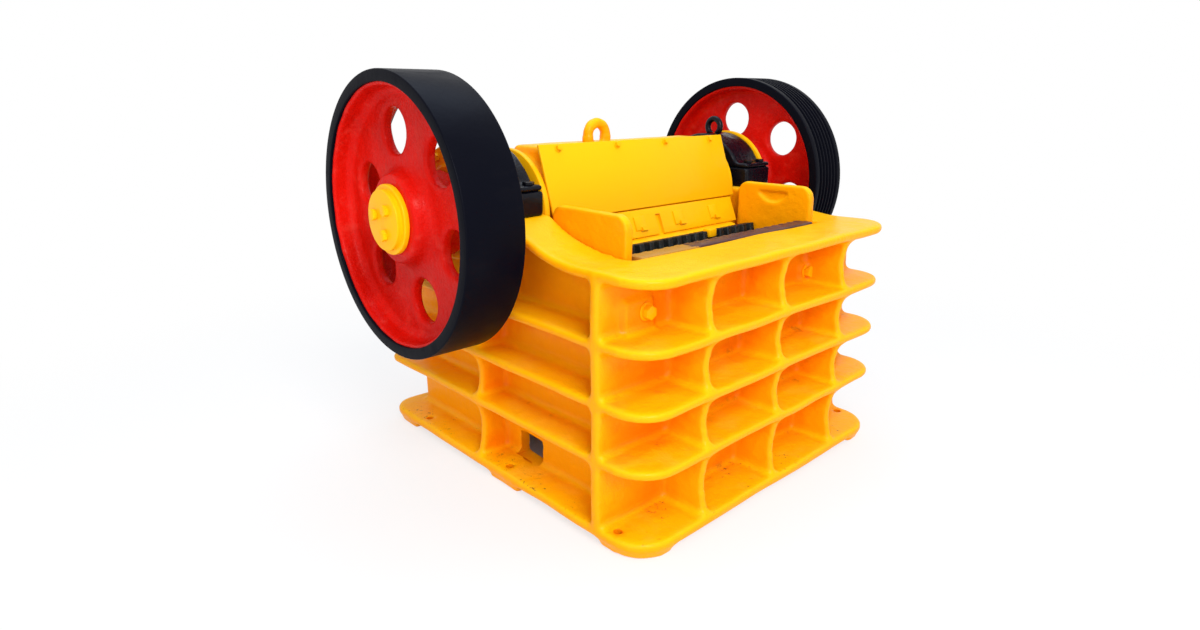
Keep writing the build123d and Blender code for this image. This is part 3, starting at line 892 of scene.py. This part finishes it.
ear_bolts = bmesh.new()
for side in ("left", "right"):
    for part in ("base", "cap"):
        cast_node(
            side + "_bearing_" + part,
            cast_black_paint,
            "frame",
            "black_paint",
            voxel=HOUSING_VOXEL,
            fillet=0.007,
            edge=0.003,
            triangles=24000,
            wobble=0.0008,
            pitch=0.04,
        )
    low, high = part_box(side + "_bearing_cap")
    front, rear = [corner.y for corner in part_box(side + "_bearing_base")]
    for x in (low.x + EAR_BOLT_INSET, high.x - EAR_BOLT_INSET):
        for y in (front + EAR_BOLT_SETBACK, rear - EAR_BOLT_SETBACK):
            lay = lay_on((x, y, EAR_TOP), (0, 0, 1), (0, 1, 0))
            add_bolt(ear_bolts, lay, EAR_BOLT_ACROSS, EAR_BOLT_HEIGHT)
ear_bolts = placed("ear_bolts", ear_bolts, cast_black_paint, "frame")
smooth(ear_bolts)
cast_node(
    "bearing_eyes",
    cast_black_paint,
    "frame",
    "black_paint",
    voxel=0.002,
    fillet=0.005,
    edge=0.0015,
    triangles=16000,
)
cover_low, cover_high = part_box("bearing_covers")
housing_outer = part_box("right_bearing_base")[1].x


def bearing_cover(side):
    """A turned disc round the shaft with a raised middle and a ring of bolts."""
    face = cover_high.x - COVER_RISE
    radius = (cover_high.z - cover_low.z) / 2
    section = [
        (side * housing_outer, SHAFT_ROOM, 0),
        (side * housing_outer, radius, 0.002),
        (side * face, radius, 0.004),
        (side * face, COVER_STEP_FOOT, 0.003),
        (side * (face + COVER_STEP), COVER_STEP_TOP, 0.003),
        (side * (face + COVER_STEP), SHAFT_ROOM, 0.002),
    ]
    shape = turned(section, AXLE, steps=96)
    for bolt in range(COVER_BOLT_COUNT):
        angle = 2 * math.pi * (bolt + 0.5) / COVER_BOLT_COUNT
        place = AXLE + spoke(angle, COVER_BOLT_CIRCLE) + Vector((side * face, 0, 0))
        add_bolt(shape, lay_on(place, (side, 0, 0)), COVER_BOLT_ACROSS, COVER_BOLT_HEIGHT)
    return shape


covers = joined(bearing_cover(-1), bearing_cover(1))
covers = placed("covers", covers, amber_plate, "frame")
smooth(covers)
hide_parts("bearing_covers")

# %% [markdown]
# The pitman is the casting that swings. A smooth sheet guards its front, held by a row of
# small bolts near its top edge.

# %% Pitman and guard
GUARD_TOP = Vector((0, -0.0475, 0.905))
GUARD_BOTTOM = Vector((0, -0.1095, 0.719))
GUARD_BOLT_X = [-0.310, -0.098, 0.101, 0.306]
GUARD_BOLT_DROP = 0.012
GUARD_BOLT_ACROSS = 0.015
GUARD_BOLT_HEIGHT = 0.009
GUARD_BOLT_WASHER = 0.022
PITMAN_TOP = 0.898
EYE_RADIUS = 0.033
EYE_BAR = 0.0145
EYE_RISE = 0.019
EYE_FOOT_DEPTH = 0.006
EYE_FOOT_HEIGHT = 0.024
EYE_FOOT_RADIUS = EYE_BAR * 1.12
EYE_PLACE = Vector((-0.110, 0.0175, PITMAN_TOP + EYE_RISE))


def slope_lay(top, bottom):
    """A lay at the foot of a slope that faces the front."""
    up = (top - bottom).normalized()
    return lay_on(bottom, Vector((0, -up.z, up.y)), up)


cast_node(
    "pitman",
    amber_cast,
    "jaw",
    "yellow_paint",
    voxel=0.006,
    fillet=0.010,
    edge=0.003,
    triangles=60000,
    wobble=0.0012,
)
softened("pitman_end_rings", 0.003, amber_plate, "jaw")
softened("guard_plate", 0.002, amber_plate, "jaw")
eye_ring = bmesh.new()
ring_start = Matrix.Translation(EYE_PLACE + Vector((EYE_RADIUS, 0, 0)))
wire = bmesh.ops.create_circle(eye_ring, segments=24, radius=EYE_BAR, matrix=ring_start)["verts"]
bmesh.ops.spin(
    eye_ring,
    geom=wire + eye_ring.edges[:],
    axis=(0, 1, 0),
    cent=EYE_PLACE,
    angle=2 * math.pi,
    steps=48,
    use_merge=True,
)
bmesh.ops.recalc_face_normals(eye_ring, faces=eye_ring.faces[:])
for foot in (-1, 1):
    place = EYE_PLACE + Vector((foot * EYE_RADIUS, 0, -EYE_RISE - EYE_FOOT_DEPTH))
    lay = lay_on(place, (0, 0, 1), (0, 1, 0))
    add_disc(eye_ring, lay, 0, EYE_FOOT_HEIGHT, EYE_FOOT_RADIUS, 0.002)
lifting_eye = placed("lifting_eye_cast", eye_ring, amber_cast, "jaw")
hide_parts("lifting_eye")
cast(lifting_eye, 0.0022, 0.006, 0.001, 16000, wobble=0.0012, pitch=0.02)
guard_lay = slope_lay(GUARD_TOP, GUARD_BOTTOM)
guard_height = (GUARD_TOP - GUARD_BOTTOM).length
guard_bolts = bmesh.new()
for x in GUARD_BOLT_X:
    lay = guard_lay @ Matrix.Translation((x, guard_height - GUARD_BOLT_DROP, 0))
    add_bolt(guard_bolts, lay, GUARD_BOLT_ACROSS, GUARD_BOLT_HEIGHT, GUARD_BOLT_WASHER)
guard_bolts = placed("guard_bolts", guard_bolts, amber_plate, "jaw")
smooth(guard_bolts)

# %% [markdown]
# Under the guard a thick clamp plate presses the jaw plate home. It has a notch cut up from
# its lower edge and three lugs, each with a slot for a lever in its lower corner.

# %% Clamp plate
CLAMP_TOP = Vector((0, -0.1095, 0.716))
CLAMP_BOTTOM = Vector((0, -0.1375, 0.650))
CLAMP_HALF_WIDTH = 0.352
CLAMP_THICKNESS = 0.018
CLAMP_REACH = 0.007
NOTCH_X = 0.002
NOTCH_HALF = (0.010, 0.030, 0.009)
NOTCH_FOOT = -0.008
LUG_X = [-0.078, 0.086, 0.249]
LUG_HALF = (0.021, 0.020, 0.0035)
LUG_RISE = 0.032
SLOT_HALF = (0.0125, 0.0055, 0.010)
SLOT_OFFSET = (0.010, -0.017)

clamp_lay = slope_lay(CLAMP_TOP, CLAMP_BOTTOM)
clamp_rise = (CLAMP_TOP - CLAMP_BOTTOM).length
clamp_middle = (clamp_rise - CLAMP_REACH) / 2
clamp = bmesh.new()
add_block(
    clamp,
    (0, clamp_middle, -CLAMP_THICKNESS / 2),
    (CLAMP_HALF_WIDTH, clamp_rise - clamp_middle, CLAMP_THICKNESS / 2),
    clamp_lay,
    0.002,
)
for x in LUG_X:
    add_block(clamp, (x, LUG_RISE, 0.001), LUG_HALF, clamp_lay, 0.0015)
clamp = placed("clamp", clamp, amber_plate, "jaw")
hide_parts("clamp_plate")
notches = bmesh.new()
add_block(notches, (NOTCH_X, NOTCH_HALF[1] + NOTCH_FOOT, 0), NOTCH_HALF, clamp_lay)
for x in LUG_X:
    slot_middle = (x + SLOT_OFFSET[0], LUG_RISE + SLOT_OFFSET[1], 0)
    add_block(notches, slot_middle, SLOT_HALF, clamp_lay)
drilled(clamp, notches)
smooth(clamp)

# %% [markdown]
# The jaws keep the teeth of the construction model, with their edges rubbed round. The
# fixed one is packed with dried dirt at the top, nearly out to the crests. A small lump of
# the clamp sits among the swinging teeth. The cheek plates are cast, with a soft lever
# pocket near the top.

# %% Jaws and cheek plates
DIRT_MIDDLE = (0, -0.3820, 0.6600)
DIRT_HALF = (0.359, 0.0240, 0.0070)
HOOK_MIDDLE = (0.141, -0.201, 0.637)
HOOK_HALF = (0.017, 0.014, 0.012)

softened("moving_jaw_plate", 0.003, jaw_black_steel, "jaw")
softened("fixed_jaw_plate", 0.003, jaw_brown_steel, "frame")
for side in ("left", "right"):
    cast_node(
        side + "_cheek_plate",
        amber_cast,
        "frame",
        "yellow_paint",
        voxel=0.003,
        fillet=0.003,
        edge=0.004,
        triangles=36000,
        wobble=0.001,
        pitch=0.06,
    )
packed_dirt = bmesh.new()
add_block(packed_dirt, DIRT_MIDDLE, DIRT_HALF, rounding=0.002)
packed_dirt = placed("packed_dirt", packed_dirt, jaw_brown_steel, "frame")
smooth(packed_dirt)
hook = bmesh.new()
add_block(hook, HOOK_MIDDLE, HOOK_HALF, rounding=0.005)
hook = placed("clamp_hook", hook, amber_plate, "jaw")
smooth(hook)

# %% [markdown]
# Behind and below, a toggle plate props the swinging jaw against its beam. Two rods with
# coiled springs keep the toggle seated. Each coil is a ring of wire, spun while it moves
# along its axis.

# %% Toggle, rods and springs
WIRE_RADIUS = 0.0055
WIRE_SIDES = 12
SPRING_TURNS = 5
COIL_STEPS = 24

softened("toggle_beam", 0.004, amber_plate, "frame")
softened("toggle_plate", 0.003, plain_steel, "frame")
softened("tension_rods", 0.0015, plain_steel, "jaw")
softened("eccentric_shaft", 0.002, plain_steel, "shaft")
spring_low, spring_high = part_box("tension_springs")
spring_radius = (spring_high.z - spring_low.z) / 2 - WIRE_RADIUS
spring_height = (spring_high.z + spring_low.z) / 2
spring_run = spring_high.y - spring_low.y - 2 * WIRE_RADIUS


def coil(x):
    """A helical spring along Y."""
    shape = bmesh.new()
    centre = Vector((x, spring_low.y + WIRE_RADIUS, spring_height))
    start = Matrix.Translation(centre + Vector((spring_radius, 0, 0)))
    ring = bmesh.ops.create_circle(shape, segments=WIRE_SIDES, radius=WIRE_RADIUS, matrix=start)
    steps = SPRING_TURNS * COIL_STEPS
    bmesh.ops.spin(
        shape,
        geom=ring["verts"] + shape.edges[:],
        axis=(0, 1, 0),
        cent=centre,
        dvec=(0, spring_run / steps, 0),
        angle=2 * math.pi * SPRING_TURNS,
        steps=steps,
    )
    ends = [edge for edge in shape.edges if edge.is_boundary]
    bmesh.ops.holes_fill(shape, edges=ends, sides=WIRE_SIDES)
    bmesh.ops.recalc_face_normals(shape, faces=shape.faces[:])
    return shape


spring_x = spring_high.x - spring_radius - WIRE_RADIUS
springs = joined(coil(-spring_x), coil(spring_x))
springs = placed("spring_coils", springs, plain_steel, "frame")
smooth(springs, 50)
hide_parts("tension_springs")

# %% [markdown]
# Two bolts come through the front wall to hold the fixed jaw. They stand on the pads that
# were cast with the frame.

# %% Frame bolts
JAW_BOLT_PLACES = [(-0.391, front_face - 0.013, 0.557), (0.276, front_face - 0.011, 0.541)]
JAW_BOLT_ACROSS = 0.030
JAW_BOLT_HEIGHT = 0.016
JAW_BOLT_WASHER = 0.044

frame_bolts = bmesh.new()
for place in JAW_BOLT_PLACES:
    lay = lay_on(place, (0, -1, 0))
    add_bolt(frame_bolts, lay, JAW_BOLT_ACROSS, JAW_BOLT_HEIGHT, JAW_BOLT_WASHER)
frame_bolts = placed("jaw_bolts", frame_bolts, amber_plate, "frame")
smooth(frame_bolts)
for node in nodes.values():
    node.data.materials.clear()
    node.data.materials.append(amber_plate)

# %% [markdown]
# The machine stands on a plain white floor that runs into a white surround. The floor shows
# its soft shadow, and a part of its light is added only for the camera, for reflections and
# for what is seen through clear things, so that the white doesn't come from more light on
# the paint. Under the machine, where the floor is dark, none is added.

# %% Floor, surround and lamps
FLOOR_SIZE = 40.0
WHITE = colour(0.9, 0.9, 0.9)
SKY_STRENGTH = 0.66
SEEN_NEAR = 0.70
NEAR_END = 1.0
FAR_START = 2.6
UNDER_HALF = 0.36
OPEN_HALF = 0.42

floor_shape = bmesh.new()
bmesh.ops.create_grid(floor_shape, x_segments=1, y_segments=1, size=FLOOR_SIZE / 2)
floor_mesh = bpy.data.meshes.new("floor")
floor_shape.to_mesh(floor_mesh)
floor_shape.free()
floor = bpy.data.objects.new("floor", floor_mesh)
bpy.context.scene.collection.objects.link(floor)

ground = Finish("floor_white", Roughness=0.9)
ground.shader.inputs["Base Color"].default_value = WHITE
glow = ground.node("Emission", inputs={"Color": colour(1, 1, 1), "Strength": 1.0})
to_camera = ground.node("LightPath", output="Is Camera Ray")
to_gloss = ground.node("LightPath", output="Is Glossy Ray")
to_clear = ground.node("LightPath", output="Is Transmission Ray")
away = ground.node("VectorMath", {"operation": "LENGTH"}, {0: ground.place}, output="Value")
near = SEEN_NEAR + (1 - SEEN_NEAR) * ground.between(away, NEAR_END, FAR_START)
beside = ground.node("VectorMath", {"operation": "ABSOLUTE"}, {0: ground.place})
open_x = ground.between(ground.part(beside, "X"), UNDER_HALF, OPEN_HALF)
open_y = ground.between(ground.part(beside, "Y"), UNDER_HALF, OPEN_HALF)
open_floor = ground.maths_max(open_x, open_y)
shown = (to_camera + to_gloss + to_clear) * near * open_floor
blend = ground.node("MixShader", inputs={0: shown, 2: glow})
ground.tree.links.new(ground.shader.outputs[0], blend.socket.node.inputs[1])
output = ground.tree.nodes["Material Output"]
ground.tree.links.new(blend.socket, output.inputs["Surface"])
floor_mesh.materials.append(ground.material)

world = bpy.data.worlds.new("studio")
world.use_nodes = True
bpy.context.scene.world = world
sky = world.node_tree
plain = sky.nodes["Background"]
plain.inputs["Color"].default_value = colour(1, 1, 1)
plain.inputs["Strength"].default_value = SKY_STRENGTH
bright = sky.nodes.new("ShaderNodeBackground")
bright.inputs["Color"].default_value = colour(1, 1, 1)
bright.inputs["Strength"].default_value = 1.0
path = sky.nodes.new("ShaderNodeLightPath")
seen = path.outputs["Is Camera Ray"]
for ray in ("Is Glossy Ray", "Is Transmission Ray"):
    both = sky.nodes.new("ShaderNodeMath")
    both.operation = "ADD"
    sky.links.new(seen, both.inputs[0])
    sky.links.new(path.outputs[ray], both.inputs[1])
    seen = both.outputs[0]
choose = sky.nodes.new("ShaderNodeMixShader")
sky.links.new(seen, choose.inputs[0])
sky.links.new(plain.outputs[0], choose.inputs[1])
sky.links.new(bright.outputs[0], choose.inputs[2])
sky.links.new(choose.outputs[0], sky.nodes["World Output"].inputs["Surface"])


def lamp(name, place, target, size, power, tint=(1, 1, 1)):
    """A square soft lamp that looks at its target."""
    light = bpy.data.lights.new(name, "AREA")
    light.size = size
    light.energy = power
    light.color = tint
    holder = bpy.data.objects.new(name, light)
    bpy.context.scene.collection.objects.link(holder)
    holder.location = place
    aim = Vector(target) - Vector(place)
    holder.rotation_mode = "QUATERNION"
    holder.rotation_quaternion = aim.to_track_quat("-Z", "Y")


lamp("key", (-1.7, -3.4, 3.2), (0, 0, 0.4), 2.0, 145)
lamp("left", (-3.2, -2.2, 0.7), (0, 0, 0.25), 1.8, 26)
lamp("top", (0.4, 0.6, 4.2), (0, 0, 0.6), 2.6, 60, (0.62, 0.77, 1.0))
